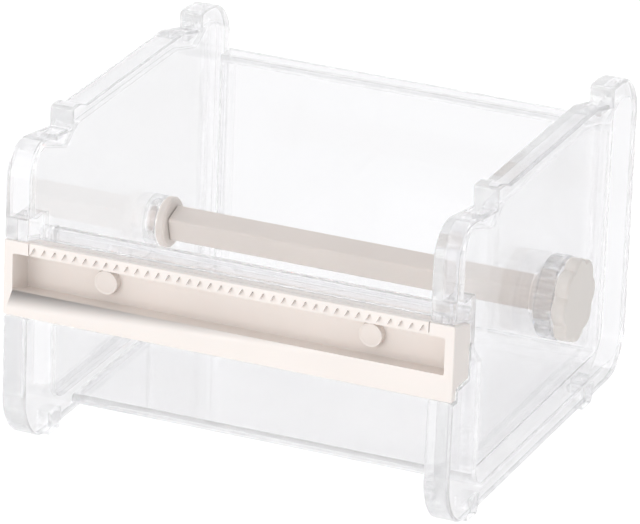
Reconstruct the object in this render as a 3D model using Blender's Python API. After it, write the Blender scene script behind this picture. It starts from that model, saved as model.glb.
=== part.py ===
"""Clear desktop dispenser for craft tape, with a pull-out roll bar and a serrated cutter tray.

Frame: +X along the roll bar towards the knob, +Y to the back, +Z up. The origin is at the bottom
centre of the whole object, on the surface that its four feet stand on. Lengths are in metres.
"""
import math

import bmesh
import bpy
from mathutils import Matrix

MM = 0.001

# Housing
WIDTH = 146 * MM
DEPTH = 148 * MM
HEIGHT = 99 * MM
KNOB_PROUD = 5 * MM
FOOT_HEIGHT = 3 * MM
GAP = 0.3 * MM

# Side panels: a thin web on the inner side, with a rim that stands out from it
RIM_DEPTH = 8 * MM
WEB = 2 * MM
CORNER_FRONT_LOW = 17 * MM
CORNER_FRONT_TOP = 13 * MM
CORNER_REAR_LOW = 13 * MM
CORNER_REAR_TOP = 13 * MM

# Stacking notches in the top edge: (where the ramp starts, where the step stands, floor at the step)
NOTCHES = ((13 * MM, 30 * MM, 94.5 * MM), (111 * MM, 125 * MM, 95.5 * MM))
LUG_TOP = 101 * MM
LUG_LENGTH = 5 * MM
SOCKET_DEPTH = 0.6 * MM
SOCKET_LENGTH = 9 * MM

# Where the rim's inner edge dips below each notch: (from, lowest point, to)
DIPS = (
    (12.2 * MM, (28 * MM, 89.2 * MM), 36 * MM),
    (108 * MM, (123 * MM, 90.4 * MM), 131 * MM),
)

# Feet, pressed into the underside of the rims
FOOT_BACK = (24.5 * MM, 119.5 * MM)
FOOT_LENGTH = 10 * MM
FOOT_WIDTH = 5.4 * MM
PEG_LENGTH = 6 * MM
PEG_WIDTH = 3.2 * MM
PEG_HEIGHT = 4 * MM

# Base and back
BASE_BOTTOM = 3.2 * MM
BASE_TOP = 6.4 * MM
BASE_FRONT = 33 * MM
BACK_WEB_FRONT = 139.5 * MM
BACK_WEB = 2.2 * MM
BACK_TOP = 82.6 * MM
BACK_FLANGE = 2.6 * MM
BACK_BOTTOM = 6.8 * MM

# Cross bar behind the cutter
CROSSBAR_BACK = 19.5 * MM
CROSSBAR_UP = 63.6 * MM
CROSSBAR_SIZE = 5 * MM
CROSSBAR_INSET = 3.2 * MM

# Cutter tray
TRAY_LOW = 43.5 * MM
TRAY_TOP = 68 * MM
TRAY_BOX_LOW = 47 * MM
TRAY_BEZEL = 3 * MM
TRAY_DEPTH = 12.6 * MM
TRAY_SLOPE_DROP = 3.6 * MM
TRAY_SIDE = 3 * MM
RECESS_LOW_FRONT = 52 * MM
RECESS_LOW_BACK = 49.2 * MM
RECESS_DEPTH = 10.8 * MM
RECESS_LIP = 63.8 * MM
RECESS_BACK_TOP = 59.6 * MM
BOSS_IN_RECESS_RADIUS = 3.8 * MM
BOSS_IN_RECESS_FRONT = 8 * MM
BOSS_IN_RECESS_UP = 56.4 * MM
BOSS_IN_RECESS_FROM_END = 30 * MM

# Serrated blade on the tray's front edge
BLADE_WIDTH = 129.2 * MM
BLADE_BACK = 5.2 * MM
BLADE_THICKNESS = 1.2 * MM
BLADE_LIP = 3.6 * MM
TOOTH_PITCH = 3.4 * MM
TOOTH_DEPTH = 2.2 * MM

# Roll bar, knob and the ring they turn in
BAR_BACK = 91 * MM
BAR_UP = 44 * MM
BAR_SIDE = 8.4 * MM
BAR_CORNER = MM
BAR_TURN = 17
BAR_BORE = 2.9 * MM
BOSS_LENGTH = 4 * MM
BOSS_RADIUS = 8 * MM
PIVOT_RADIUS = 4 * MM
FLANGE_RADIUS = 8 * MM
FLANGE_LENGTH = 3 * MM
PLUG_REACH = 10 * MM
RING_RADIUS = 13.2 * MM
SPIGOT_RADIUS = 10 * MM
HUB_RADIUS = 7.8 * MM
HUB_REACH = 1 * MM
HUB_RIBS = 24
RIB_HEIGHT = 0.5 * MM
KNOB_RADIUS = 13.5 * MM
KNOB_LOBES = 8
KNOB_SCALLOP = 1.5 * MM
KNOB_THICKNESS = 4.5 * MM

LEFT = -(WIDTH + KNOB_PROUD) / 2
RIGHT = LEFT + WIDTH
FRONT = -DEPTH / 2
LIFT = FOOT_HEIGHT
INNER_LEFT = LEFT + RIM_DEPTH
INNER_RIGHT = RIGHT - RIM_DEPTH
BAR_AXIS = (FRONT + BAR_BACK, LIFT + BAR_UP)
CIRCLE_STEPS = 32


def clear_scene():
    for old in list(bpy.data.objects):
        bpy.data.objects.remove(old)


def make_material(name, color, roughness, transmission=0.0):
    material = bpy.data.materials.new(name)
    material.use_nodes = True
    shader = material.node_tree.nodes["Principled BSDF"]
    shader.inputs["Base Color"].default_value = (*color, 1.0)
    shader.inputs["Roughness"].default_value = roughness
    shader.inputs["Metallic"].default_value = 0.0
    shader.inputs["Transmission Weight"].default_value = transmission
    return material


def finish_mesh(name, mesh_data, material):
    """Turn a bmesh into a named object with its faces pointing out."""
    bmesh.ops.recalc_face_normals(mesh_data, faces=mesh_data.faces)
    mesh = bpy.data.meshes.new(name)
    mesh_data.to_mesh(mesh)
    mesh_data.free()
    mesh.materials.append(material)
    mesh.shade_smooth()
    mesh.set_sharp_from_angle(angle=math.radians(30))
    piece = bpy.data.objects.new(name, mesh)
    bpy.context.scene.collection.objects.link(piece)
    return piece


def add_prism(mesh_data, outline, x_from, x_to):
    """Extrude an outline of (distance behind the front, height above the rims' underside) along X."""
    ring = [mesh_data.verts.new((x_from, FRONT + back, LIFT + up)) for back, up in outline]
    cap = mesh_data.faces.new(ring)
    swept = bmesh.ops.extrude_face_region(mesh_data, geom=[cap], use_keep_orig=True)
    moved = [item for item in swept["geom"] if isinstance(item, bmesh.types.BMVert)]
    bmesh.ops.translate(mesh_data, vec=(x_to - x_from, 0, 0), verts=moved)


def add_turned(mesh_data, profile, steps=CIRCLE_STEPS):
    """Spin a closed profile of (x, radius) about the roll bar's axis."""
    ring = [mesh_data.verts.new((x, BAR_AXIS[0], BAR_AXIS[1] + radius)) for x, radius in profile]
    pairs = zip(ring, ring[1:] + ring[:1])
    edges = [mesh_data.edges.new(pair) for pair in pairs]
    bmesh.ops.spin(
        mesh_data,
        geom=ring + edges,
        cent=(0, *BAR_AXIS),
        axis=(1, 0, 0),
        angle=2 * math.pi,
        steps=steps,
        use_merge=True,
    )
    bmesh.ops.remove_doubles(mesh_data, verts=mesh_data.verts, dist=0.01 * MM)
    on_axis = [edge for edge in mesh_data.edges if not edge.link_faces]
    bmesh.ops.delete(mesh_data, geom=on_axis, context="EDGES")


def arc(center, radius, start, end, steps=6):
    """Points on an arc in the (back, up) plane, angles in degrees from +back towards +up."""
    points = []
    for index in range(steps + 1):
        angle = math.radians(start + (end - start) * index / steps)
        points.append((center[0] + radius * math.cos(angle), center[1] + radius * math.sin(angle)))
    return points


def box_outline(back_from, back_to, up_from, up_to):
    return [(back_from, up_from), (back_to, up_from), (back_to, up_to), (back_from, up_to)]


def add_boolean(piece, tool, operation):
    tool.hide_render = True
    tool.display_type = "WIRE"
    modifier = piece.modifiers.new(operation.title(), "BOOLEAN")
    modifier.operation = operation
    modifier.solver = "EXACT"
    modifier.use_self = True
    modifier.object = tool


# Side panels -----------------------------------------------------------------------------------


def panel_outline():
    """Outer edge of a side panel, with the tray's cut-out in front and two stacking notches on top."""
    low_front = arc((CORNER_FRONT_LOW, CORNER_FRONT_LOW), CORNER_FRONT_LOW, 180, 270)
    low_rear = arc((DEPTH - CORNER_REAR_LOW, CORNER_REAR_LOW), CORNER_REAR_LOW, 270, 360)
    top_rear = arc((DEPTH - CORNER_REAR_TOP, HEIGHT - CORNER_REAR_TOP), CORNER_REAR_TOP, 0, 90)
    top_front = arc((CORNER_FRONT_TOP, HEIGHT - CORNER_FRONT_TOP), CORNER_FRONT_TOP, 90, 180)
    notches = []
    for ramp_start, step, floor in reversed(NOTCHES):
        notches += [(step + 2 * LUG_LENGTH, HEIGHT), (step + LUG_LENGTH, LUG_TOP), (step, LUG_TOP)]
        notches += [(step, floor), (ramp_start, HEIGHT)]
    notches = notches[1:-1]
    cutout = [
        (0, TRAY_TOP + GAP),
        (TRAY_DEPTH + GAP, TRAY_TOP - TRAY_SLOPE_DROP + GAP),
        (TRAY_DEPTH + GAP, TRAY_BOX_LOW - GAP),
        (TRAY_BEZEL + GAP, TRAY_BOX_LOW - GAP),
        (TRAY_BEZEL + GAP, TRAY_LOW - GAP),
        (0, TRAY_LOW - GAP),
    ]
    return low_front + low_rear + top_rear + notches + top_front + cutout


def pocket_outline():
    """Inner edge of the rim, which dips below each notch and steps in behind the tray's cut-out."""
    front, rear, low, top = 6 * MM, 142 * MM, 7.5 * MM, 94.5 * MM
    behind_tray, shelf, low_shelf = 16 * MM, 73 * MM, 56 * MM
    low_front = 23 * MM
    corner = 6 * MM
    outline = arc((low_front + corner, low + corner), corner, 180, 270, 4)
    outline += arc((rear - corner, low + corner), corner, 270, 360, 4)
    outline += arc((rear - corner, top - corner), corner, 0, 90, 4)
    for back_from, lowest, back_to in reversed(DIPS):
        outline += [(back_to, top), lowest, (back_from, top)]
    outline += arc((front + corner, top - corner), corner, 90, 180, 4)
    outline += [(front, shelf), (behind_tray, shelf)]
    outline += [(behind_tray, low_shelf), (low_front, low_shelf - (low_front - behind_tray))]
    return outline


def side_panel(name, outer_x, inward, material):
    """A side panel. inward is +1 for the left panel and -1 for the right one."""
    inner_x = outer_x + inward * RIM_DEPTH
    body = bmesh.new()
    add_prism(body, panel_outline(), outer_x, inner_x)
    panel = finish_mesh(name, body, material)

    cuts = bmesh.new()
    add_prism(cuts, pocket_outline(), outer_x - inward * MM, inner_x - inward * WEB)
    socket_near = outer_x + inward * ((RIM_DEPTH - FOOT_WIDTH) / 2 - GAP)
    socket_far = outer_x + inward * ((RIM_DEPTH + FOOT_WIDTH) / 2 + GAP)
    for _, step, floor in NOTCHES:
        socket = box_outline(step - SOCKET_LENGTH - MM, step - MM, floor - SOCKET_DEPTH, LUG_TOP)
        add_prism(cuts, socket, socket_near, socket_far)
    peg_near = outer_x + inward * ((RIM_DEPTH - PEG_WIDTH) / 2 - GAP)
    peg_far = outer_x + inward * ((RIM_DEPTH + PEG_WIDTH) / 2 + GAP)
    for middle in FOOT_BACK:
        reach = PEG_LENGTH / 2 + GAP
        hole = box_outline(middle - reach, middle + reach, -MM, PEG_HEIGHT + GAP)
        add_prism(cuts, hole, peg_near, peg_far)
    half_bar = CROSSBAR_SIZE / 2 + GAP
    bar_hole = box_outline(
        CROSSBAR_BACK - half_bar, CROSSBAR_BACK + half_bar, CROSSBAR_UP - half_bar, CROSSBAR_UP + half_bar
    )
    add_prism(cuts, bar_hole, inner_x - inward * 2 * RIM_DEPTH, inner_x + inward * MM)
    if inward < 0:
        hole_profile = [(inner_x - MM, 0), (inner_x - MM, SPIGOT_RADIUS + GAP)]
        hole_profile += [(inner_x + WEB + MM, SPIGOT_RADIUS + GAP), (inner_x + WEB + MM, 0)]
        add_turned(cuts, hole_profile)
    add_boolean(panel, finish_mesh(name + "_cuts", cuts, material), "DIFFERENCE")
    return panel


def left_socket(panel, material):
    """Socket boss for the roll bar's pivot, with a rib that stiffens the web below it."""
    root = INNER_LEFT - WEB / 2
    rib = bmesh.new()
    rib_bottom = BASE_TOP + 2 * MM
    outline = box_outline(BAR_BACK - 1.5 * MM, BAR_BACK + 1.5 * MM, rib_bottom, BAR_UP - 6 * MM)
    add_prism(rib, outline, root, INNER_LEFT + BOSS_LENGTH / 2)
    add_boolean(panel, finish_mesh("left_rib_shape", rib, material), "UNION")
    boss = bmesh.new()
    bore = PIVOT_RADIUS + GAP
    tip = INNER_LEFT + BOSS_LENGTH
    add_turned(boss, [(root, bore), (root, BOSS_RADIUS), (tip, BOSS_RADIUS), (tip, bore)])
    add_boolean(panel, finish_mesh("left_boss_shape", boss, material), "UNION")


# Feet ------------------------------------------------------------------------------------------


def stacking_foot(name, outer_x, inward, middle, material):
    """A tapered foot below the rim, joined to the peg that holds it."""
    half, half_peg = FOOT_LENGTH / 2, PEG_LENGTH / 2
    taper = MM
    pad = bmesh.new()
    outline = [
        (middle - half + taper, -FOOT_HEIGHT),
        (middle + half - taper, -FOOT_HEIGHT),
        (middle + half, -GAP),
        (middle - half, -GAP),
    ]
    near = outer_x + inward * (RIM_DEPTH - FOOT_WIDTH) / 2
    add_prism(pad, outline, near, near + inward * FOOT_WIDTH)
    foot = finish_mesh(name, pad, material)
    peg = bmesh.new()
    peg_near = outer_x + inward * (RIM_DEPTH - PEG_WIDTH) / 2
    peg_shape = box_outline(middle - half_peg, middle + half_peg, -MM, PEG_HEIGHT)
    add_prism(peg, peg_shape, peg_near, peg_near + inward * PEG_WIDTH)
    add_boolean(foot, finish_mesh(name + "_peg", peg, material), "UNION")


# Base, back and cross bar ----------------------------------------------------------------------


def base_panel(material):
    nose = (BASE_TOP - BASE_BOTTOM) / 2
    rear = BACK_WEB_FRONT + BACK_WEB
    outline = arc((BASE_FRONT + nose, BASE_BOTTOM + nose), nose, 90, 270)
    outline += [(rear, BASE_BOTTOM), (rear, BASE_TOP)]
    body = bmesh.new()
    add_prism(body, outline, INNER_LEFT + GAP, INNER_RIGHT - GAP)
    return finish_mesh("base_panel", body, material)


def back_panel(material):
    """The back's web, with a flange along its top that stands out to the rear."""
    web_rear = BACK_WEB_FRONT + BACK_WEB
    outline = [
        (BACK_WEB_FRONT, BACK_BOTTOM),
        (web_rear, BACK_BOTTOM),
        (web_rear, BACK_TOP - BACK_FLANGE),
        (DEPTH - MM, BACK_TOP - BACK_FLANGE),
        (DEPTH, BACK_TOP - BACK_FLANGE / 2),
        (DEPTH - MM, BACK_TOP),
        (BACK_WEB_FRONT, BACK_TOP),
    ]
    body = bmesh.new()
    add_prism(body, outline, INNER_LEFT + GAP, INNER_RIGHT - GAP)
    return finish_mesh("back_panel", body, material)


def front_crossbar(material):
    """A square bar with rounded edges, whose ends pass through both webs."""
    half, corner = CROSSBAR_SIZE / 2, 1.2 * MM
    outline = []
    for quarter, (side_back, side_up) in enumerate(((1, 1), (-1, 1), (-1, -1), (1, -1))):
        center = (CROSSBAR_BACK + side_back * (half - corner), CROSSBAR_UP + side_up * (half - corner))
        outline += arc(center, corner, 90 * quarter, 90 * quarter + 90, 3)
    body = bmesh.new()
    add_prism(body, outline, LEFT + CROSSBAR_INSET, RIGHT - CROSSBAR_INSET)
    return finish_mesh("front_crossbar", body, material)


# Cutter ----------------------------------------------------------------------------------------


def slope_up(back):
    """Height of the tray's top surface, which falls towards the back."""
    return TRAY_TOP - TRAY_SLOPE_DROP * back / TRAY_DEPTH


def cutter_tray(material):
    """Front bezel and box in one piece, open to the front, with a seat for the blade."""
    outline = [
        (0, TRAY_LOW),
        (TRAY_BEZEL, TRAY_LOW),
        (TRAY_BEZEL, TRAY_BOX_LOW),
        (TRAY_DEPTH, TRAY_BOX_LOW),
        (TRAY_DEPTH, slope_up(TRAY_DEPTH)),
        (0, TRAY_TOP),
    ]
    body = bmesh.new()
    add_prism(body, outline, LEFT, RIGHT)
    tray = finish_mesh("cutter_tray", body, material)

    recess = bmesh.new()
    shape = [
        (-MM, RECESS_LOW_FRONT),
        (0, RECESS_LOW_FRONT),
        (RECESS_DEPTH, RECESS_LOW_BACK),
        (RECESS_DEPTH, RECESS_BACK_TOP),
        (0, RECESS_LIP),
        (-MM, RECESS_LIP),
    ]
    add_prism(recess, shape, LEFT + TRAY_SIDE, RIGHT - TRAY_SIDE)
    add_boolean(tray, finish_mesh("tray_recess", recess, material), "DIFFERENCE")

    seat = bmesh.new()
    rebate = BLADE_THICKNESS + GAP
    deep = BLADE_BACK + GAP
    shape = [
        (-MM, RECESS_LIP - MM),
        (rebate, RECESS_LIP - MM),
        (rebate, slope_up(rebate) - rebate),
        (deep, slope_up(deep) - rebate),
        (deep, TRAY_TOP + MM),
        (-MM, TRAY_TOP + MM),
    ]
    side = (WIDTH - BLADE_WIDTH) / 2 - GAP
    add_prism(seat, shape, LEFT + side, RIGHT - side)
    add_boolean(tray, finish_mesh("tray_blade_seat", seat, material), "DIFFERENCE")

    bosses = bmesh.new()
    for middle in (LEFT + BOSS_IN_RECESS_FROM_END, RIGHT - BOSS_IN_RECESS_FROM_END):
        add_recess_boss(bosses, middle)
    add_boolean(tray, finish_mesh("tray_bosses", bosses, material), "UNION")


def add_recess_boss(mesh_data, middle):
    """A round boss along Y that stands on the recess's back wall."""
    length = (RECESS_DEPTH + TRAY_DEPTH) / 2 - BOSS_IN_RECESS_FRONT
    place = (middle, FRONT + BOSS_IN_RECESS_FRONT + length / 2, LIFT + BOSS_IN_RECESS_UP)
    bmesh.ops.create_cone(
        mesh_data,
        cap_ends=True,
        segments=20,
        radius1=BOSS_IN_RECESS_RADIUS,
        radius2=BOSS_IN_RECESS_RADIUS,
        depth=length,
        matrix=Matrix.Translation(place) @ Matrix.Rotation(math.radians(90), 4, "X"),
    )


def cutter_blade(material):
    """A strip bent over the tray's front edge, with teeth that point down along its lip."""
    inner = BLADE_THICKNESS
    outline = [
        (0, TRAY_TOP - BLADE_LIP),
        (inner, TRAY_TOP - BLADE_LIP),
        (inner, slope_up(inner) - inner),
        (BLADE_BACK, slope_up(BLADE_BACK) - inner),
        (BLADE_BACK, slope_up(BLADE_BACK)),
        (0, TRAY_TOP),
    ]
    near = LEFT + (WIDTH - BLADE_WIDTH) / 2
    body = bmesh.new()
    add_prism(body, outline, near, near + BLADE_WIDTH)
    blade = finish_mesh("cutter_blade", body, material)
    gaps = bmesh.new()
    low = LIFT + TRAY_TOP - BLADE_LIP
    for index in range(round(BLADE_WIDTH / TOOTH_PITCH)):
        left = near + index * TOOTH_PITCH
        corners = [
            (left + 0.1 * TOOTH_PITCH, low - 0.1 * MM),
            (left + 0.9 * TOOTH_PITCH, low - 0.1 * MM),
            (left + 0.5 * TOOTH_PITCH, low + TOOTH_DEPTH),
        ]
        cap = gaps.faces.new([gaps.verts.new((x, FRONT - MM, z)) for x, z in corners])
        swept = bmesh.ops.extrude_face_region(gaps, geom=[cap], use_keep_orig=True)
        moved = [item for item in swept["geom"] if isinstance(item, bmesh.types.BMVert)]
        bmesh.ops.translate(gaps, vec=(0, inner + 2 * MM, 0), verts=moved)
    add_boolean(blade, finish_mesh("blade_tooth_gaps", gaps, material), "DIFFERENCE")


# Roll bar --------------------------------------------------------------------------------------

PLUG_START = INNER_LEFT + BOSS_LENGTH + GAP
TUBE_START = PLUG_START + FLANGE_LENGTH + GAP
HUB_START = INNER_RIGHT - HUB_REACH
TUBE_END = HUB_START - GAP
KNOB_START = RIGHT + KNOB_PROUD - KNOB_THICKNESS


def set_origin_on_axis(piece):
    """Put a turning piece's origin on the roll bar's axis."""
    center = Matrix.Translation((0, *BAR_AXIS))
    piece.data.transform(center.inverted())
    piece.matrix_world = center


def bar_tube(material):
    """Square bar with rounded corners, bored to take a spigot at each end."""
    half = BAR_SIDE / 2 - BAR_CORNER
    section = []
    for quarter in range(4):
        turn = math.radians(90 * quarter + 45 + BAR_TURN)
        reach = half * math.sqrt(2)
        center = (BAR_BACK + reach * math.cos(turn), BAR_UP + reach * math.sin(turn))
        section += arc(center, BAR_CORNER, 90 * quarter + BAR_TURN, 90 * quarter + 90 + BAR_TURN, 3)
    body = bmesh.new()
    add_prism(body, section, TUBE_START, TUBE_END)
    bar = finish_mesh("roll_bar", body, material)
    bore = bmesh.new()
    far = TUBE_END + MM
    add_turned(bore, [(TUBE_START - MM, 0), (TUBE_START - MM, BAR_BORE), (far, BAR_BORE), (far, 0)], 24)
    bore_tool = finish_mesh("roll_bar_bore", bore, material)
    set_origin_on_axis(bore_tool)
    set_origin_on_axis(bar)
    add_boolean(bar, bore_tool, "DIFFERENCE")


def end_plug(material):
    """Flanged plug in the bar's left end, whose pivot turns in the left panel's boss."""
    body = bmesh.new()
    spigot = BAR_BORE - GAP
    flange_end = PLUG_START + FLANGE_LENGTH
    profile = [
        (INNER_LEFT + GAP, 0),
        (INNER_LEFT + GAP, PIVOT_RADIUS),
        (PLUG_START, PIVOT_RADIUS),
        (PLUG_START, FLANGE_RADIUS),
        (flange_end, FLANGE_RADIUS),
        (flange_end, spigot),
        (flange_end + PLUG_REACH, spigot),
        (flange_end + PLUG_REACH, 0),
    ]
    add_turned(body, profile)
    set_origin_on_axis(finish_mesh("bar_end_plug", body, material))


def bearing_ring(material):
    """Ring that snaps into the right panel's hole; the knob's hub turns inside it."""
    body = bmesh.new()
    bore = HUB_RADIUS + GAP
    shoulder = INNER_RIGHT + WEB + GAP
    profile = [
        (INNER_RIGHT, bore),
        (INNER_RIGHT, SPIGOT_RADIUS),
        (shoulder, SPIGOT_RADIUS),
        (shoulder, RING_RADIUS),
        (KNOB_START - GAP, RING_RADIUS),
        (KNOB_START - GAP, bore),
    ]
    add_turned(body, profile, 48)
    set_origin_on_axis(finish_mesh("bearing_ring", body, material))


def round_section(radius):
    return lambda angle: radius


def ribbed_section(angle):
    return HUB_RADIUS - RIB_HEIGHT * (0.5 - 0.5 * math.cos(HUB_RIBS * angle))


def lobed_section(inset):
    def radius(angle):
        return KNOB_RADIUS - inset - KNOB_SCALLOP * (1 - abs(math.cos(KNOB_LOBES * angle / 2)))

    return radius


def scalloped_knob(material):
    """Lobed grip, ribbed hub and the spigot that holds the bar, in one piece."""
    spigot = BAR_BORE - GAP
    edge = 0.8 * MM
    end = KNOB_START + KNOB_THICKNESS
    sections = [
        (HUB_START - PLUG_REACH, round_section(spigot)),
        (HUB_START, round_section(spigot)),
        (HUB_START, ribbed_section),
        (KNOB_START, ribbed_section),
        (KNOB_START, lobed_section(edge)),
        (KNOB_START + edge, lobed_section(0)),
        (end - edge, lobed_section(0)),
        (end, lobed_section(edge)),
    ]
    steps = 4 * HUB_RIBS
    body = bmesh.new()
    loops = []
    for x, section in sections:
        ring = []
        for index in range(steps):
            angle = 2 * math.pi * index / steps
            radius = section(angle)
            place = (x, BAR_AXIS[0] + radius * math.cos(angle), BAR_AXIS[1] + radius * math.sin(angle))
            ring.append(body.verts.new(place))
        loops.append([body.edges.new(pair) for pair in zip(ring, ring[1:] + ring[:1])])
    for near, far in zip(loops, loops[1:]):
        bmesh.ops.bridge_loops(body, edges=near + far)
    for loop in (loops[0], loops[-1]):
        bmesh.ops.contextual_create(body, geom=loop)
    set_origin_on_axis(finish_mesh("knob", body, material))


# Assembly --------------------------------------------------------------------------------------


def build():
    clear_scene()
    clear = make_material("clear_polystyrene", (0.93, 0.93, 0.95), 0.05, transmission=1.0)
    foot_clear = make_material("clear_foot", (0.90, 0.90, 0.91), 0.35, transmission=0.8)
    beige = make_material("beige_plastic", (0.72, 0.66, 0.59), 0.45)
    dark_beige = make_material("warm_grey_plastic", (0.62, 0.59, 0.54), 0.45)

    left_panel = side_panel("left_side_panel", LEFT, 1, clear)
    left_socket(left_panel, clear)
    side_panel("right_side_panel", RIGHT, -1, clear)
    base_panel(clear)
    back_panel(clear)
    front_crossbar(clear)
    for side, outer_x, inward in (("left", LEFT, 1), ("right", RIGHT, -1)):
        for end, middle in zip(("front", "rear"), FOOT_BACK):
            stacking_foot(f"foot_{end}_{side}", outer_x, inward, middle, foot_clear)

    cutter_tray(beige)
    cutter_blade(beige)

    bar_tube(beige)
    end_plug(beige)
    bearing_ring(clear)
    scalloped_knob(dark_beige)


build()
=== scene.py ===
import math

import bmesh
import bpy
from mathutils import Matrix, Vector


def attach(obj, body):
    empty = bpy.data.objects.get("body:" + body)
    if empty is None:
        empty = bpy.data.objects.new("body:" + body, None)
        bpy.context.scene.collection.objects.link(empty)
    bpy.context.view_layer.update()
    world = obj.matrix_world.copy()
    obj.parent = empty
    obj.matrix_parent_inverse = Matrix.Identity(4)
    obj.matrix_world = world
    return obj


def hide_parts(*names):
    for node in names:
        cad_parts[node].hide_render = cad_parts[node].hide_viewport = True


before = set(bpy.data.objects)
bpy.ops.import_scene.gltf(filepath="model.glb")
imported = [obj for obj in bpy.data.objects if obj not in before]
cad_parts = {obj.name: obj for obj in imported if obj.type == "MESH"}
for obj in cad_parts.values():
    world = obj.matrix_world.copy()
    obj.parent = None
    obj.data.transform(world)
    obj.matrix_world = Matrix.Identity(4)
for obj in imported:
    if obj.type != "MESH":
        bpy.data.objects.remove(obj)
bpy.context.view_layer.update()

# ---------------------------------------------------------------------------------------------
# Side panels.
# Each is one clear polystyrene moulding: a thin web on the inside with a heavy rounded rim that
# stands out from it, two ramped notches and foot sockets along the top, and a cut-out in front.

MM = 0.001
WIDTH, DEPTH, HEIGHT = 146, 148, 99
LEFT, FRONT, LIFT = -75.5, -74, 3
RIGHT = LEFT + WIDTH
RIM_DEPTH, WEB = 8, 2
BAR_BACK, BAR_UP = 91, 44
BAR_AXIS = Vector((0, FRONT + BAR_BACK, LIFT + BAR_UP)) * MM


def outline_face(shape, x, outline, roundings=()):
    """A face across X through points (back, up) in mm; roundings are (corner numbers, radius)."""
    corners = [shape.verts.new(Vector((x, FRONT + b, LIFT + u)) * MM) for b, u in outline]
    face = shape.faces.new(corners)
    for numbers, radius in roundings:
        bmesh.ops.bevel(
            shape,
            geom=[corners[n] for n in numbers],
            offset=radius * MM,
            segments=max(3, round(radius)),
            profile=0.5,
            affect="VERTICES",
            material=-1,
        )
    return shape.faces[:]


def sweep_along_x(shape, faces, length):
    """Extrude flat faces along X by a length in mm and return the vertices at the far end."""
    swept = bmesh.ops.extrude_face_region(shape, geom=faces, use_keep_orig=True)
    far = [item for item in swept["geom"] if isinstance(item, bmesh.types.BMVert)]
    bmesh.ops.translate(shape, vec=(length * MM, 0, 0), verts=far)
    return far


def round_edges(shape, chosen, radius, segments=4):
    edges = [edge for edge in shape.edges if chosen(edge)]
    bmesh.ops.bevel(
        shape,
        geom=edges,
        offset=radius * MM,
        segments=segments,
        profile=0.5,
        affect="EDGES",
        clamp_overlap=True,
        material=-1,
    )


def lies_at_x(x, tolerance=0.02):
    return lambda edge: all(abs(v.co.x - x * MM) < tolerance * MM for v in edge.verts)


def to_piece(name, shape, sharp_degrees=32):
    """Make an object from a bmesh, merged and with its faces outwards."""
    bmesh.ops.remove_doubles(shape, verts=shape.verts, dist=0.004 * MM)
    bmesh.ops.recalc_face_normals(shape, faces=shape.faces)
    mesh = bpy.data.meshes.new(name)
    shape.to_mesh(mesh)
    shape.free()
    mesh.shade_smooth()
    mesh.set_sharp_from_angle(angle=math.radians(sharp_degrees))
    piece = bpy.data.objects.new(name, mesh)
    bpy.context.scene.collection.objects.link(piece)
    return piece


def place_piece(name, shape, material, body, cad_node):
    """Finish a piece that rides on a body and stands for a CAD node. Wide faces stay optically flat."""
    piece = to_piece(name, shape)
    piece.data.materials.append(material)
    flat = piece.modifiers.new("flat faces", "WEIGHTED_NORMAL")
    flat.mode = "FACE_AREA"
    flat.weight = 100
    flat.keep_sharp = True
    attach(piece, body)
    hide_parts(cad_node)


def carve(piece, tool, operation="DIFFERENCE"):
    """Cut or join with a tool, which may overlap itself, and return the result as a bmesh."""
    boolean = piece.modifiers.new("carve", "BOOLEAN")
    boolean.operation = operation
    boolean.solver = "EXACT"
    boolean.use_self = True
    boolean.object = tool
    made = piece.evaluated_get(bpy.context.evaluated_depsgraph_get())
    shape = bmesh.new()
    shape.from_mesh(made.to_mesh())
    made.to_mesh_clear()
    for used in (piece, tool):
        bpy.data.objects.remove(used)
    return shape


def block(shape, x, back, up):
    """Add a box: each argument is a pair of limits in mm."""
    size = Vector((x[1] - x[0], back[1] - back[0], up[1] - up[0])) * MM
    middle = Vector((sum(x) / 2, FRONT + sum(back) / 2, LIFT + sum(up) / 2)) * MM
    matrix = Matrix.Translation(middle) @ Matrix.Diagonal((*size, 1))
    return bmesh.ops.create_cube(shape, size=1, matrix=matrix)["verts"]


def turned(shape, profile, steps=64):
    """Spin a closed profile of (x, radius) in mm about the roll bar's axis."""
    ring = [shape.verts.new(BAR_AXIS + Vector((x, 0, radius)) * MM) for x, radius in profile]
    edges = [shape.edges.new(pair) for pair in zip(ring, ring[1:] + ring[:1])]
    bmesh.ops.spin(
        shape,
        geom=ring + edges,
        cent=BAR_AXIS,
        axis=(1, 0, 0),
        angle=2 * math.pi,
        steps=steps,
        use_merge=True,
    )
    bmesh.ops.remove_doubles(shape, verts=shape.verts, dist=0.004 * MM)
    idle = [edge for edge in shape.edges if not edge.link_faces]
    bmesh.ops.delete(shape, geom=idle, context="EDGES")


def material_with_shader(name, color, roughness):
    material = bpy.data.materials.new(name)
    material.use_nodes = True
    shader = material.node_tree.nodes["Principled BSDF"]
    shader.inputs["Base Color"].default_value = (*color, 1)
    shader.inputs["Roughness"].default_value = roughness
    return material, shader


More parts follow.
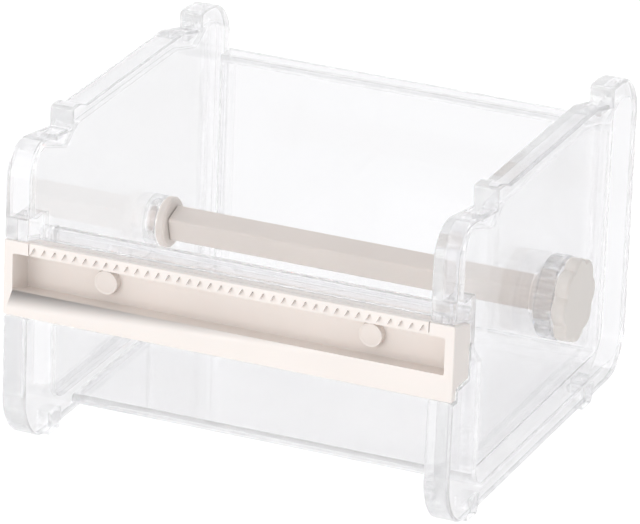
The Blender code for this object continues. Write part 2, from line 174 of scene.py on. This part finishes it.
def mould_surface_group():
    """Moulded plastic: long flow waves and fine grain as a height, and rubbed patches as a mask."""
    group = bpy.data.node_groups.new("mould surface", "ShaderNodeTree")
    face = group.interface
    for name, value in (("Wave Scale", 40.0), ("Grain Scale", 3000.0), ("Rub Scale", 90.0)):
        socket = face.new_socket(name=name, in_out="INPUT", socket_type="NodeSocketFloat")
        socket.default_value = value
    for name in ("Waves", "Grain", "Rubbed"):
        face.new_socket(name=name, in_out="OUTPUT", socket_type="NodeSocketFloat")
    nodes, links = group.nodes, group.links
    values = nodes.new("NodeGroupInput")
    results = nodes.new("NodeGroupOutput")
    place = nodes.new("ShaderNodeTexCoord")
    for result, scale, detail in (
        ("Waves", "Wave Scale", 1.0),
        ("Grain", "Grain Scale", 3.0),
        ("Rubbed", "Rub Scale", 6.0),
    ):
        noise = nodes.new("ShaderNodeTexNoise")
        noise.inputs["Detail"].default_value = detail
        links.new(place.outputs["Object"], noise.inputs["Vector"])
        links.new(values.outputs[scale], noise.inputs["Scale"])
        if result == "Rubbed":
            patches = nodes.new("ShaderNodeMapRange")
            patches.inputs["From Min"].default_value = 0.5
            patches.inputs["From Max"].default_value = 0.75
            links.new(noise.outputs["Fac"], patches.inputs["Value"])
            links.new(patches.outputs["Result"], results.inputs[result])
        else:
            links.new(noise.outputs["Fac"], results.inputs[result])
    return group


mould_surface = mould_surface_group()


def clear_plastic(name, color, roughness, waviness=0.04):
    """Clear moulded plastic: nearly colourless, faintly wavy, with a few rubbed patches."""
    material, shader = material_with_shader(name, color, roughness)
    shader.inputs["IOR"].default_value = 1.5
    shader.inputs["Transmission Weight"].default_value = 1.0
    shader.inputs["Alpha"].default_value = 0.66
    nodes, links = material.node_tree.nodes, material.node_tree.links
    surface = nodes.new("ShaderNodeGroup")
    surface.node_tree = mould_surface
    surface.inputs["Wave Scale"].default_value = 55.0
    surface.inputs["Rub Scale"].default_value = 120.0
    bump = nodes.new("ShaderNodeBump")
    bump.inputs["Strength"].default_value = 0.35
    bump.inputs["Distance"].default_value = waviness * MM
    links.new(surface.outputs["Waves"], bump.inputs["Height"])
    links.new(bump.outputs["Normal"], shader.inputs["Normal"])
    rubbed = nodes.new("ShaderNodeMapRange")
    rubbed.inputs["To Min"].default_value = roughness
    rubbed.inputs["To Max"].default_value = roughness + 0.08
    links.new(surface.outputs["Rubbed"], rubbed.inputs["Value"])
    links.new(rubbed.outputs["Result"], shader.inputs["Roughness"])
    lamp_pass = nodes.new("ShaderNodeBsdfTransparent")
    lamp_pass.inputs["Color"].default_value = (0.93, 0.93, 0.94, 1)
    path = nodes.new("ShaderNodeLightPath")
    choose = nodes.new("ShaderNodeMixShader")
    links.new(path.outputs["Is Shadow Ray"], choose.inputs["Fac"])
    links.new(shader.outputs["BSDF"], choose.inputs[1])
    links.new(lamp_pass.outputs["BSDF"], choose.inputs[2])
    links.new(choose.outputs["Shader"], nodes["Material Output"].inputs["Surface"])
    return material


panel_plastic = clear_plastic("clear polystyrene", (0.955, 0.953, 0.965), 0.02)

NOTCHES = ((13, 30, 94.5), (111, 125, 95.5))
LUG_TOP, LUG_LENGTH = 101, 5
TRAY_CUTOUT = ((0, 68.3), (12.9, 64.7), (12.9, 46.7), (3.3, 46.7), (3.3, 43.2), (0, 43.2))


def panel_outline():
    notches = []
    for ramp, step, floor in reversed(NOTCHES):
        notches += [(step + 2 * LUG_LENGTH, HEIGHT), (step + LUG_LENGTH, LUG_TOP)]
        notches += [(step, LUG_TOP), (step, floor), (ramp, HEIGHT)]
    return [(0, 0), (DEPTH, 0), (DEPTH, HEIGHT), *notches[1:-1], (0, HEIGHT), *TRAY_CUTOUT]


def side_panel(name, outer, inward, cad_node):
    """A side panel: outer is the X of its outer plane, and inward is +1 or -1 along X."""
    inner = outer + inward * RIM_DEPTH
    shape = bmesh.new()
    front_top = 11
    roundings = (((0,), 17), ((1,), 13), ((2,), 13), ((front_top,), 13), ((3, 4, 7, 8, 9), 1.2))
    faces = outline_face(shape, outer, panel_outline(), roundings)
    sweep_along_x(shape, faces, inward * RIM_DEPTH)
    round_edges(shape, lies_at_x(outer), 1.9, 5)
    round_edges(shape, lies_at_x(inner), 0.7, 3)
    panel = to_piece(name, shape)

    cuts = bmesh.new()
    rim = [(23, 7.5), (142, 7.5), (142, 94.5), (131, 94.5), (123, 90.4), (108, 94.5), (36, 94.5)]
    rim += [(28, 89.2), (12.2, 94.5), (6, 94.5), (6, 73), (16, 73), (16, 56), (23, 49)]
    roundings = (((0, 1, 2, 9), 6), ((10, 11, 12, 13), 1.5), ((3, 4, 5, 6, 7, 8), 0.8))
    faces = outline_face(cuts, outer - inward, rim, roundings)
    sweep_along_x(cuts, faces, inward * (RIM_DEPTH - WEB + 1))
    round_edges(cuts, lies_at_x(inner - inward * WEB), 1.0, 4)
    for _, step, floor in NOTCHES:
        block(cuts, sorted((outer + inward, outer + 7 * inward)), (step - 10, step - 1), (floor - 0.6, 104))
    for middle in (24.5, 119.5):
        near, far = outer + inward * 2.1, outer + inward * 5.9
        block(cuts, sorted((near, far)), (middle - 3.3, middle + 3.3), (-1, 4.3))
    bar_hole = [(16.7, 60.8), (22.3, 60.8), (22.3, 66.4), (16.7, 66.4)]
    hole = bmesh.new()
    faces = outline_face(hole, inner - inward * (WEB + 1), bar_hole, (((0, 1, 2, 3), 1.2),))
    sweep_along_x(hole, faces, inward * (WEB + 2))
    panel = to_piece(name, carve(panel, to_piece("cuts", cuts)))
    shape = carve(panel, to_piece("bar hole", hole))

    mouth_low = Vector((0, FRONT + 5.5, LIFT + 7)) * MM
    mouth_high = Vector((0, FRONT + 142.5, LIFT + 95)) * MM

    def on_mouth(edge):
        """Whether an edge is on the pocket's mouth: a sharp edge of the outer plane, inside the rim."""
        flat = lies_at_x(outer)(edge)
        return flat and edge.calc_face_angle(0) > 1 and all(
            mouth_low.y < v.co.y < mouth_high.y and mouth_low.z < v.co.z < mouth_high.z
            for v in edge.verts
        )

    round_edges(shape, on_mouth, 1.6, 4)
    if inward < 0:
        hole = bmesh.new()
        turned(hole, [(inner - 1, 0), (inner - 1, 10.3), (inner + WEB + 1, 10.3), (inner + WEB + 1, 0)])
        shape = carve(to_piece(name, shape), to_piece("ring hole", hole))
    else:
        root, tip = inner - WEB / 2, inner + 4
        socket = bmesh.new()
        profile = [(root, 4.3), (root, 8), (tip - 0.7, 8), (tip - 0.2, 7.8), (tip, 7.3), (tip, 4.9)]
        turned(socket, profile + [(tip - 0.6, 4.3)])
        rib = bmesh.new()
        block(rib, (root, inner + 2), (BAR_BACK - 1.5, BAR_BACK + 1.5), (8.4, BAR_UP - 6))
        round_edges(rib, lies_at_x(inner + 2), 0.5, 3)
        shape = carve(to_piece(name, shape), to_piece("rib", rib), "UNION")
        shape = carve(to_piece(name, shape), to_piece("socket", socket), "UNION")
    place_piece(name, shape, panel_plastic, "housing", cad_node)


side_panel("panel_right", RIGHT, -1, "right_side_panel")
side_panel("panel_left", LEFT, 1, "left_side_panel")

# ---------------------------------------------------------------------------------------------
# Base, back and cross bar.
# Three clear mouldings that are welded between the side panels: a floor with a rounded front
# edge, a back with a flange along its top, and a square bar whose domed ends pass the webs.

GAP = 0.3
BETWEEN = (LEFT + RIM_DEPTH + GAP, RIGHT - RIM_DEPTH - GAP)


def clear_strip(name, outline, roundings, limits, end_radius, cad_node):
    shape = bmesh.new()
    faces = outline_face(shape, limits[0], outline, roundings)
    sweep_along_x(shape, faces, limits[1] - limits[0])
    for end in limits:
        round_edges(shape, lies_at_x(end), end_radius, 5)
    place_piece(name, shape, panel_plastic, "housing", cad_node)


base = [(33, 3.2), (141.7, 3.2), (141.7, 6.4), (33, 6.4)]
clear_strip("base_plate", base, (((0, 3), 1.55), ((1, 2), 0.4)), BETWEEN, 0.25, "base_panel")
back = [(139.5, 6.8), (141.7, 6.8), (141.7, 80), (148, 80), (148, 82.6), (139.5, 82.6)]
clear_strip("back_plate", back, (((3, 4), 1.2), ((0, 1, 2, 5), 0.6)), BETWEEN, 0.25, "back_panel")
bar = [(17, 61.1), (22, 61.1), (22, 66.1), (17, 66.1)]
clear_strip("crossbar", bar, (((0, 1, 2, 3), 1.2),), (LEFT + 3.2, RIGHT - 3.2), 1.9, "front_crossbar")

# ---------------------------------------------------------------------------------------------
# Feet.
# Four small tapered pads of softer clear plastic, each with a peg pressed into the rim above.
# They drop into the sockets along the top of a dispenser below.

foot_plastic = clear_plastic("clear soft plastic", (0.93, 0.93, 0.94), 0.22)

for side, outer, inward in (("left", LEFT, 1), ("right", RIGHT, -1)):
    for end, middle in (("front", 24.5), ("rear", 119.5)):
        pad_limits = sorted((outer + inward * 1.3, outer + inward * 6.7))
        peg_limits = sorted((outer + inward * 2.4, outer + inward * 5.6))
        pad = bmesh.new()
        taper = [(middle - 4, -3), (middle + 4, -3), (middle + 5, -0.3), (middle - 5, -0.3)]
        faces = outline_face(pad, pad_limits[0], taper, (((0, 1), 1.0), ((2, 3), 0.4)))
        sweep_along_x(pad, faces, 5.4)
        for limit in pad_limits:
            round_edges(pad, lies_at_x(limit), 0.5, 3)
        peg = bmesh.new()
        block(peg, peg_limits, (middle - 3, middle + 3), (-1, 4))
        name = f"foot_pad_{end}_{side}"
        pad = carve(to_piece(name, pad), to_piece("peg", peg), "UNION")
        place_piece(name, pad, foot_plastic, "housing", f"foot_{end}_{side}")

# ---------------------------------------------------------------------------------------------
# Cutter tray.
# One opaque beige moulding that clips into the cut-outs of both side panels: a long shallow
# box, open to the front, with a raised border and two round bosses on its back wall.


def opaque_plastic(name, color, roughness, shade=0.04):
    """Opaque moulded plastic: satin, with fine grain, slow shade changes and rubbed patches."""
    material, shader = material_with_shader(name, color, roughness)
    shader.inputs["Subsurface Weight"].default_value = 0.12
    shader.inputs["Subsurface Radius"].default_value = (0.8, 0.6, 0.5)
    shader.inputs["Subsurface Scale"].default_value = 1.5 * MM
    shader.inputs["IOR"].default_value = 1.5
    nodes, links = material.node_tree.nodes, material.node_tree.links
    surface = nodes.new("ShaderNodeGroup")
    surface.node_tree = mould_surface
    tone = nodes.new("ShaderNodeMix")
    tone.data_type = "RGBA"
    tone.inputs["A"].default_value = (*(c * (1 - shade) for c in color), 1)
    tone.inputs["B"].default_value = (*(min(1, c * (1 + shade)) for c in color), 1)
    links.new(surface.outputs["Waves"], tone.inputs["Factor"])
    links.new(tone.outputs["Result"], shader.inputs["Base Color"])
    gloss = nodes.new("ShaderNodeMapRange")
    gloss.inputs["To Min"].default_value = roughness
    gloss.inputs["To Max"].default_value = roughness - 0.12
    links.new(surface.outputs["Rubbed"], gloss.inputs["Value"])
    links.new(gloss.outputs["Result"], shader.inputs["Roughness"])
    bump = nodes.new("ShaderNodeBump")
    bump.inputs["Strength"].default_value = 0.25
    bump.inputs["Distance"].default_value = 0.03 * MM
    links.new(surface.outputs["Grain"], bump.inputs["Height"])
    links.new(bump.outputs["Normal"], shader.inputs["Normal"])
    return material


beige_plastic = opaque_plastic("beige polystyrene", (0.825, 0.77, 0.73), 0.42)

TRAY_TOP, TRAY_DEPTH, SLOPE_DROP = 68, 12.6, 3.6
RECESS_BACK_LOW, RECESS_BACK_TOP = 49.2, 59.6
# The recess's floor and roof slope, and are carried on to 1 mm in front of the tray
RECESS_AHEAD_LOW, RECESS_AHEAD_TOP = 52.26, 64.19
LIP_UP, RECESS_DEPTH = 63.8, 10.8
BLADE_LIMITS = (LEFT + 8.4, RIGHT - 8.4)
BLADE_BACK, BLADE_THICKNESS, BLADE_LIP = 5.2, 1.2, 3.6


def slope_up(back):
    return TRAY_TOP - SLOPE_DROP * back / TRAY_DEPTH


shape = bmesh.new()
section = [(0, 43.5), (3, 43.5), (3, 47), (TRAY_DEPTH, 47)]
section += [(TRAY_DEPTH, slope_up(TRAY_DEPTH)), (0, TRAY_TOP)]
faces = outline_face(shape, LEFT, section, (((0, 1, 2), 0.5), ((3, 4, 5), 0.7)))
sweep_along_x(shape, faces, WIDTH)
round_edges(shape, lies_at_x(LEFT), 0.6, 3)
round_edges(shape, lies_at_x(RIGHT), 0.6, 3)

recess = bmesh.new()
section = [(-1, RECESS_AHEAD_LOW), (RECESS_DEPTH, RECESS_BACK_LOW)]
section += [(RECESS_DEPTH, RECESS_BACK_TOP), (-1, RECESS_AHEAD_TOP)]
faces = outline_face(recess, LEFT + 3, section, (((1, 2), 0.6),))
sweep_along_x(recess, faces, WIDTH - 6)
round_edges(recess, lies_at_x(LEFT + 3), 0.4, 3)
round_edges(recess, lies_at_x(RIGHT - 3), 0.4, 3)
shape = carve(to_piece("tray", shape), to_piece("recess", recess))

seat = bmesh.new()
rebate, deep = BLADE_THICKNESS + GAP, BLADE_BACK + GAP
section = [(-1, LIP_UP - 1), (rebate, LIP_UP - 1), (rebate, slope_up(rebate) - rebate)]
section += [(deep, slope_up(deep) - rebate), (deep, TRAY_TOP + 1), (-1, TRAY_TOP + 1)]
faces = outline_face(seat, BLADE_LIMITS[0] - GAP, section)
sweep_along_x(seat, faces, BLADE_LIMITS[1] - BLADE_LIMITS[0] + 2 * GAP)
shape = carve(to_piece("tray", shape), to_piece("seat", seat))

bosses = bmesh.new()
for middle in (LEFT + 30, RIGHT - 30):
    place = Vector((middle, FRONT + 8, LIFT + 56.4)) * MM
    upright = Matrix.Translation(place) @ Matrix.Rotation(math.radians(90), 4, "X")
    disc = bmesh.ops.create_circle(bosses, cap_ends=True, segments=40, radius=3.8 * MM, matrix=upright)
    face = disc["verts"][0].link_faces[0]
    bmesh.ops.inset_individual(bosses, faces=[face], thickness=0.9 * MM)
    bmesh.ops.translate(bosses, vec=(0, 0.5 * MM, 0), verts=face.verts)
    rims = [edge for edge in bosses.edges if edge.is_boundary]
    swept = bmesh.ops.extrude_edge_only(bosses, edges=rims)
    far = [item for item in swept["geom"] if isinstance(item, bmesh.types.BMVert)]
    bmesh.ops.translate(bosses, vec=(0, 3.4 * MM, 0), verts=far)
    edges = [edge for edge in bosses.edges if edge.is_boundary]
    bmesh.ops.contextual_create(bosses, geom=edges)
    front = [edge for edge in bosses.edges if all(abs(v.co.y - place.y) < 1e-6 for v in edge.verts)]
    bmesh.ops.bevel(
        bosses,
        geom=front,
        offset=0.35 * MM,
        segments=3,
        profile=0.5,
        affect="EDGES",
        material=-1,
    )
shape = carve(to_piece("tray", shape), to_piece("bosses", bosses), "UNION")
place_piece("tray", shape, beige_plastic, "housing", "cutter_tray")

# ---------------------------------------------------------------------------------------------
# Cutting edge.
# A thin beige strip folded over the tray's top front edge and snapped into its seat. Its lip
# hangs down in front with a row of moulded teeth.

TOOTH_PITCH, TOOTH_DEPTH = 3.4, 2.2

shape = bmesh.new()
section = [(0, TRAY_TOP - BLADE_LIP), (BLADE_THICKNESS, TRAY_TOP - BLADE_LIP)]
section += [(BLADE_THICKNESS, slope_up(BLADE_THICKNESS) - BLADE_THICKNESS)]
section += [(BLADE_BACK, slope_up(BLADE_BACK) - BLADE_THICKNESS), (BLADE_BACK, slope_up(BLADE_BACK))]
faces = outline_face(shape, BLADE_LIMITS[0], [*section, (0, TRAY_TOP)], (((4, 5), 0.5),))
sweep_along_x(shape, faces, BLADE_LIMITS[1] - BLADE_LIMITS[0])
gaps = bmesh.new()
low = LIFT + TRAY_TOP - BLADE_LIP
for number in range(round((BLADE_LIMITS[1] - BLADE_LIMITS[0]) / TOOTH_PITCH)):
    near = BLADE_LIMITS[0] + number * TOOTH_PITCH
    middle, high = near + TOOTH_PITCH / 2, low + TOOTH_DEPTH
    mouth = [(near + 0.3, low - 0.1), (near + TOOTH_PITCH - 0.3, low - 0.1)]
    mouth += [(middle + 0.25, high), (middle - 0.25, high)]
    corners = [gaps.verts.new(Vector((x, FRONT - 1, z)) * MM) for x, z in mouth]
    swept = bmesh.ops.extrude_face_region(gaps, geom=[gaps.faces.new(corners)], use_keep_orig=True)
    far = [item for item in swept["geom"] if isinstance(item, bmesh.types.BMVert)]
    bmesh.ops.translate(gaps, vec=(0, (BLADE_THICKNESS + 2) * MM, 0), verts=far)
shape = carve(to_piece("teeth", shape), to_piece("gaps", gaps))
place_piece("cutting_edge", shape, beige_plastic, "housing", "cutter_blade")

# ---------------------------------------------------------------------------------------------
# Roll bar and its end plug.
# A square beige bar with rounded corners that the rolls hang on. The plug pressed into its left
# end has a round flange and the pin that turns in the left panel's socket.

PLUG_START = LEFT + RIM_DEPTH + 4 + GAP
FLANGE_END = PLUG_START + 3
HUB_START = RIGHT - RIM_DEPTH - 1
BAR_LIMITS = (FLANGE_END + GAP, HUB_START - GAP)
BAR_TURN, BAR_BORE = 17, 2.9

shape = bmesh.new()
section = [(BAR_BACK + b, BAR_UP + u) for b, u in ((-4.2, -4.2), (4.2, -4.2), (4.2, 4.2), (-4.2, 4.2))]
faces = outline_face(shape, BAR_LIMITS[0], section, (((0, 1, 2, 3), 1.0),))
sweep_along_x(shape, faces, BAR_LIMITS[1] - BAR_LIMITS[0])
bar_plastic = opaque_plastic("greyed beige polystyrene", (0.76, 0.70, 0.655), 0.42)
turn = Matrix.Rotation(math.radians(BAR_TURN), 3, "X")
bmesh.ops.rotate(shape, cent=BAR_AXIS, matrix=turn, verts=shape.verts)
bore = bmesh.new()
near, far = BAR_LIMITS[0] - 1, BAR_LIMITS[1] + 1
turned(bore, [(near, 0), (near, BAR_BORE), (far, BAR_BORE), (far, 0)], 40)
shape = carve(to_piece("bar", shape), to_piece("bore", bore))
place_piece("bar", shape, bar_plastic, "roller", "roll_bar")

shape = bmesh.new()
profile = [(PLUG_START - 4, 0), (PLUG_START - 4, 3.6), (PLUG_START - 3.6, 4), (PLUG_START, 4)]
profile += [(PLUG_START, 7.4), (PLUG_START + 0.6, 8), (FLANGE_END - 0.6, 8), (FLANGE_END, 7.4)]
profile += [(FLANGE_END, 2.6), (FLANGE_END + 9.6, 2.6), (FLANGE_END + 10, 2.2), (FLANGE_END + 10, 0)]
turned(shape, profile)
place_piece("end_plug", shape, bar_plastic, "roller", "bar_end_plug")

# ---------------------------------------------------------------------------------------------
# Bearing ring.
# A clear ring that snaps into the hole in the right panel. The knob's hub turns inside it, and
# the ring comes out with the bar.

KNOB_START, KNOB_END = RIGHT + 0.5, RIGHT + 5
INNER_RIGHT = RIGHT - RIM_DEPTH

shape = bmesh.new()
profile = [(INNER_RIGHT, 8.1), (INNER_RIGHT, 9.6), (INNER_RIGHT + 0.4, 10), (INNER_RIGHT + 2.3, 10)]
profile += [(INNER_RIGHT + 2.3, 12.6), (INNER_RIGHT + 2.9, 13.2), (KNOB_START - 0.9, 13.2)]
profile += [(KNOB_START - 0.3, 12.6), (KNOB_START - 0.3, 8.7), (KNOB_START - 0.9, 8.1)]
turned(shape, profile, 96)
place_piece("ring", shape, panel_plastic, "bearing", "bearing_ring")

# ---------------------------------------------------------------------------------------------
# Knob.
# One warm grey moulding: a scalloped grip with eight lobes, a ribbed hub that turns in the
# ring, and a spigot that is pressed into the bar.

grey_plastic = opaque_plastic("warm grey polystyrene", (0.75, 0.71, 0.67), 0.45)
LOBES, SCALLOP, RIBS = 8, 1.5, 24


def plain(radius):
    return lambda angle: radius


def ribbed(radius):
    return lambda angle: radius - 0.5 * (0.5 - 0.5 * math.cos(RIBS * angle))


def lobed(inset):
    return lambda angle: 13.5 - inset - SCALLOP * (1 - abs(math.cos(LOBES * angle / 2)))


shape = bmesh.new()
SECTIONS = (
    (HUB_START - 10, plain(2.2)),
    (HUB_START - 9.6, plain(2.6)),
    (HUB_START, plain(2.6)),
    (HUB_START, ribbed(7.5)),
    (HUB_START + 0.3, ribbed(7.8)),
    (KNOB_START, ribbed(7.8)),
    (KNOB_START, lobed(0.9)),
    (KNOB_START + 0.35, lobed(0.3)),
    (KNOB_START + 0.9, lobed(0)),
    (KNOB_END - 0.9, lobed(0)),
    (KNOB_END - 0.35, lobed(0.3)),
    (KNOB_END, lobed(0.9)),
)
upright = Matrix.Translation(BAR_AXIS) @ Matrix.Rotation(math.radians(90), 4, "Y")
bmesh.ops.create_circle(shape, cap_ends=True, segments=192, radius=MM, matrix=upright)
loop, edge_loop = shape.verts[:], shape.edges[:]
for number, (x, radius_at) in enumerate(SECTIONS):
    if number:
        swept = bmesh.ops.extrude_edge_only(shape, edges=edge_loop)["geom"]
        loop = [item for item in swept if isinstance(item, bmesh.types.BMVert)]
        edge_loop = [item for item in swept if isinstance(item, bmesh.types.BMEdge)]
    for vert in loop:
        angle = math.atan2(vert.co.z - BAR_AXIS.z, vert.co.y - BAR_AXIS.y)
        radius = radius_at(angle)
        vert.co = BAR_AXIS + Vector((x, radius * math.cos(angle), radius * math.sin(angle))) * MM
bmesh.ops.contextual_create(shape, geom=edge_loop)
place_piece("grip_knob", shape, grey_plastic, "roller", "knob")

# ---------------------------------------------------------------------------------------------
# Camera, floor and light.
# A plain white studio: one seamless floor that glows a little, a soft light in front and one at
# the left, and a bright surround that dims towards the top and towards the right.

view = bpy.data.cameras.new("camera")
view.sensor_width = 36
view.lens = 378.4
camera = bpy.data.objects.new("camera", view)
bpy.context.scene.collection.objects.link(camera)
azimuth, elevation, roll = (math.radians(v) for v in (22.417, 22.021, 2.194))
across, ahead = math.sin(azimuth), -math.cos(azimuth)
toward = Vector((across * math.cos(elevation), ahead * math.cos(elevation), math.sin(elevation)))
camera.location = (0.72434, -1.76437, 0.82265)
level = (-toward).to_track_quat("-Z", "Y").to_matrix().to_4x4()
camera.matrix_world = Matrix.Translation(camera.location) @ level @ Matrix.Rotation(roll, 4, "Z")
view.clip_end = 20
bpy.context.scene.camera = camera
bpy.context.scene.view_settings.view_transform = "Standard"

ground = bmesh.new()
bmesh.ops.create_grid(ground, x_segments=1, y_segments=1, size=6)
floor = to_piece("floor", ground)
floor_material, sweep = material_with_shader("white sweep", (0.45, 0.45, 0.45), 0.8)
sweep.inputs["Emission Color"].default_value = (1, 1, 1, 1)
sweep.inputs["Specular IOR Level"].default_value = 0.1
nodes, links = floor_material.node_tree.nodes, floor_material.node_tree.links
path = nodes.new("ShaderNodeLightPath")
glow = nodes.new("ShaderNodeMapRange")
glow.inputs["To Min"].default_value = 0.575
glow.inputs["To Max"].default_value = 0.7
links.new(path.outputs["Is Camera Ray"], glow.inputs["Value"])
links.new(glow.outputs["Result"], sweep.inputs["Emission Strength"])
floor.data.materials.append(floor_material)


def soft_light(name, place, size, power):
    lamp = bpy.data.lights.new(name, "AREA")
    lamp.shape = "RECTANGLE"
    lamp.size, lamp.size_y = size
    lamp.energy = power
    holder = bpy.data.objects.new(name, lamp)
    bpy.context.scene.collection.objects.link(holder)
    aim = (Vector((0, 0, 0.05)) - Vector(place)).to_track_quat("-Z", "Y").to_matrix().to_4x4()
    holder.matrix_world = Matrix.Translation(place) @ aim


soft_light("front", (-0.4, -2.0, 0.5), (1.4, 0.9), 12)
soft_light("left", (-1.8, 0.6, 0.7), (1.0, 1.0), 6)

studio = bpy.data.worlds.new("studio")
bpy.context.scene.world = studio
studio.use_nodes = True
nodes, links = studio.node_tree.nodes, studio.node_tree.links
direction = nodes.new("ShaderNodeTexCoord")
parts = nodes.new("ShaderNodeSeparateXYZ")
links.new(direction.outputs["Generated"], parts.inputs["Vector"])


def fade(part, start, end, from_strength, to_strength):
    """The surround's strength as it changes along one axis of the view direction."""
    node = nodes.new("ShaderNodeMapRange")
    node.inputs["From Min"].default_value = start
    node.inputs["From Max"].default_value = end
    node.inputs["To Min"].default_value = from_strength
    node.inputs["To Max"].default_value = to_strength
    links.new(parts.outputs[part], node.inputs["Value"])
    return node


climb = fade("Z", 0.15, 0.9, 1.06, 0.78)
rightwards = fade("X", -0.4, 1.0, 1.0, 0.74)
both = nodes.new("ShaderNodeMath")
both.operation = "MULTIPLY"
links.new(climb.outputs["Result"], both.inputs[0])
links.new(rightwards.outputs["Result"], both.inputs[1])
backdrop = nodes["Background"]
backdrop.inputs["Color"].default_value = (0.985, 0.985, 1, 1)
links.new(both.outputs["Value"], backdrop.inputs["Strength"])
